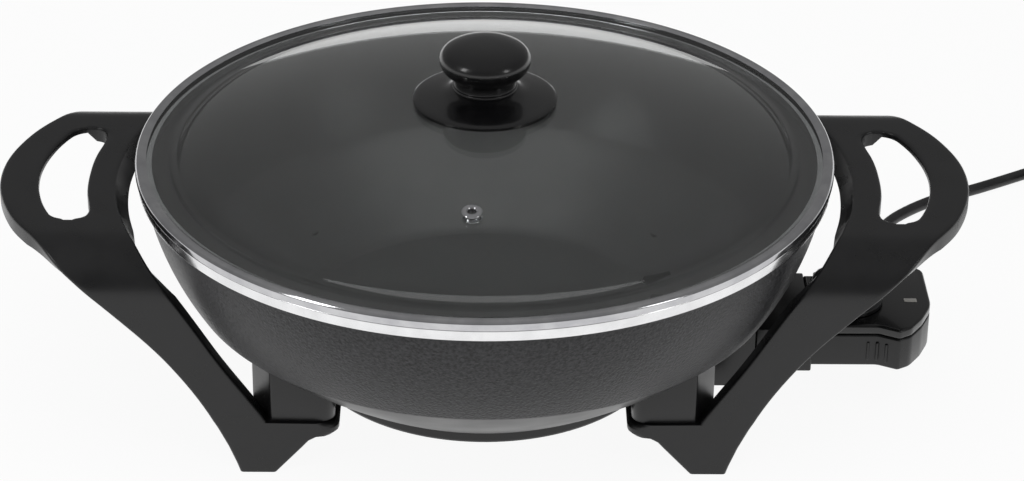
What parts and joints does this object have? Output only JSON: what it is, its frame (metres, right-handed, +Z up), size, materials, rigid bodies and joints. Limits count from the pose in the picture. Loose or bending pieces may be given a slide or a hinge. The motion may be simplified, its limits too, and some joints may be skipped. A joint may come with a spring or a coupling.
{
  "type": "electric wok",
  "caption": "Electric wok with a round coated bowl, two looped handle-and-leg mouldings, a lift-off domed glass lid with a knob, and a plug-in heat control on a mains cord",
  "frame": {"origin": "on the table under the middle of the bowl, at the middle of the object without its cord", "axes": "+Z is up, +X points to the plug-in heat control and +Y points away from the side that faces the user"},
  "size_m": [0.6753, 0.426, 0.1955],
  "materials": {
    "coated_bowl": "dark grey non-stick coating, lightly textured outside, with a polished rim band",
    "black_enamel": "satin black enamel",
    "polished_steel": "polished stainless steel",
    "steel": "plain steel",
    "plated_pin": "nickel plating",
    "ceramic": "glazed white ceramic",
    "satin_black": "moulded satin black phenolic",
    "gloss_black": "moulded glossy black phenolic",
    "clear_glass": "clear tempered glass",
    "soft_washer": "dark silicone rubber",
    "lamp_lens": "smoky clear plastic lens",
    "cord_black": "black flexible cord jacket",
    "tie_grey": "woven tie"
  },
  "bodies": {
    "base": {"wok_pan": "coated_bowl", "heating_element": "steel", "base_cover": "black_enamel", "terminal_pins": "plated_pin", "pin_bushings": "ceramic", "socket_guard": "satin_black", "guard_screws": "steel", "handle_leg_left": "satin_black", "handle_leg_right": "satin_black", "block_front_left": "satin_black", "block_front_right": "satin_black", "block_rear_left": "satin_black", "block_rear_right": "satin_black", "frame_screws": "steel"},
    "lid": {"lid_glass": "clear_glass", "lid_ring": "polished_steel", "vent_eyelet": "polished_steel", "knob_skirt": "gloss_black", "knob_grip": "gloss_black", "knob_screw": "steel", "knob_washer": "soft_washer"},
    "control": {"control_bottom": "satin_black", "control_top": "gloss_black", "indicator_lens": "lamp_lens", "probe_stem": "steel", "contact_sleeves": "plated_pin", "strain_relief": "cord_black", "cord_run": "cord_black", "cord_coil": "cord_black", "coil_tie": "tie_grey", "plug_body": "cord_black", "plug_pins": "plated_pin", "plug_earth_clips": "plated_pin"},
    "dial": {"dial": "satin_black", "dial_shaft": "steel"}
  },
  "joints": [
    {"name": "lid_lift", "type": "slide", "parent": "base", "child": "lid", "axis": [0, 0, 1], "range_m": [0, 0.15]},
    {"name": "control_unplug", "type": "slide", "parent": "base", "child": "control", "axis": [1, 0, 0], "range_m": [0, 0.09]},
    {"name": "dial_turn", "type": "hinge", "parent": "control", "child": "dial", "pos_m": [0.186, 0, 0.05], "axis": [0, 0, 1], "range_deg": [-270, 0]}
  ]
}
